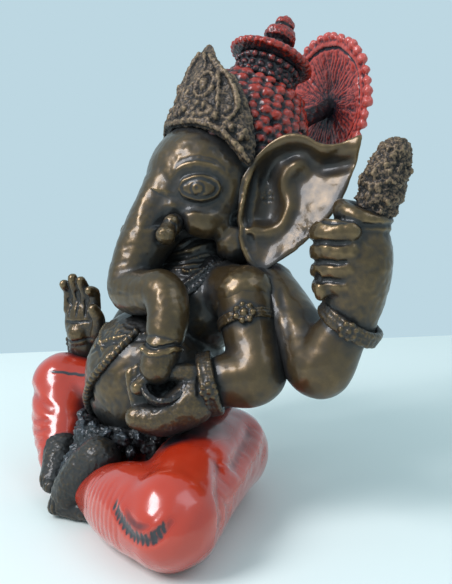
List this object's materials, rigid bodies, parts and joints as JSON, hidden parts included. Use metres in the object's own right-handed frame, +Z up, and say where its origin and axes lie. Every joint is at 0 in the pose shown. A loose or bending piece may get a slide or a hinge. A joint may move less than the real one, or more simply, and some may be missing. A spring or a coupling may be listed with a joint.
{
  "type": "seated elephant-headed idol",
  "caption": "Seated elephant-headed figure with a leaning crowned head, raised and lowered arms, folded legs and a flat underside, to stand on a shelf or altar.",
  "frame": {"origin": "on the flat underside, below the middle of the lap", "axes": "+Z up; the figure faces -Y; the figure's own left hand is on the +X side"},
  "size_m": [0.1811, 0.1474, 0.2048],
  "materials": {
    "bronze_paint": "cast resin, antique bronze paint with a dark wash in the hollows",
    "rough_bronze_paint": "cast resin with a coarse surface, grey-bronze paint rubbed over black",
    "red_lacquer": "cast resin, glossy orange-red lacquer with a blue-black wash in the folds",
    "dark_wash": "cast resin, black wash with a little bronze on the high points",
    "steel": "plain steel dowel, hidden inside"
  },
  "bodies": {
    "root": {"neck_dowel": "steel", "crown_dowel": "steel", "left_shoulder_dowel": "steel", "right_shoulder_dowel": "steel", "rear_left_shoulder_dowel": "steel", "rear_right_shoulder_dowel": "steel", "left_leg": "red_lacquer", "right_leg": "red_lacquer", "lap": "red_lacquer", "torso": "bronze_paint", "head": "bronze_paint", "crown_cap": "red_lacquer", "crown_drum": "red_lacquer", "crown_dish": "red_lacquer", "finial": "red_lacquer", "halo_stem": "red_lacquer", "halo": "red_lacquer", "left_ear": "bronze_paint", "right_ear": "bronze_paint", "tiara": "rough_bronze_paint", "left_arm": "bronze_paint", "right_arm": "bronze_paint", "rear_left_arm": "bronze_paint", "rear_right_arm": "bronze_paint", "bowl": "bronze_paint", "club": "rough_bronze_paint", "goad": "rough_bronze_paint", "left_bangle": "bronze_paint", "right_bangle": "bronze_paint", "rear_left_bangle": "bronze_paint", "rear_right_bangle": "bronze_paint", "trunk_tip": "bronze_paint", "left_tusk": "bronze_paint", "right_tusk": "bronze_paint", "left_hand": "bronze_paint", "right_hand": "bronze_paint", "rear_left_hand": "bronze_paint", "rear_right_hand": "bronze_paint", "left_foot": "bronze_paint", "right_foot": "bronze_paint", "sash": "dark_wash", "left_armlet": "bronze_paint", "right_armlet": "bronze_paint", "necklace": "dark_wash", "sacred_thread": "rough_bronze_paint"}
  },
  "joints": []
}
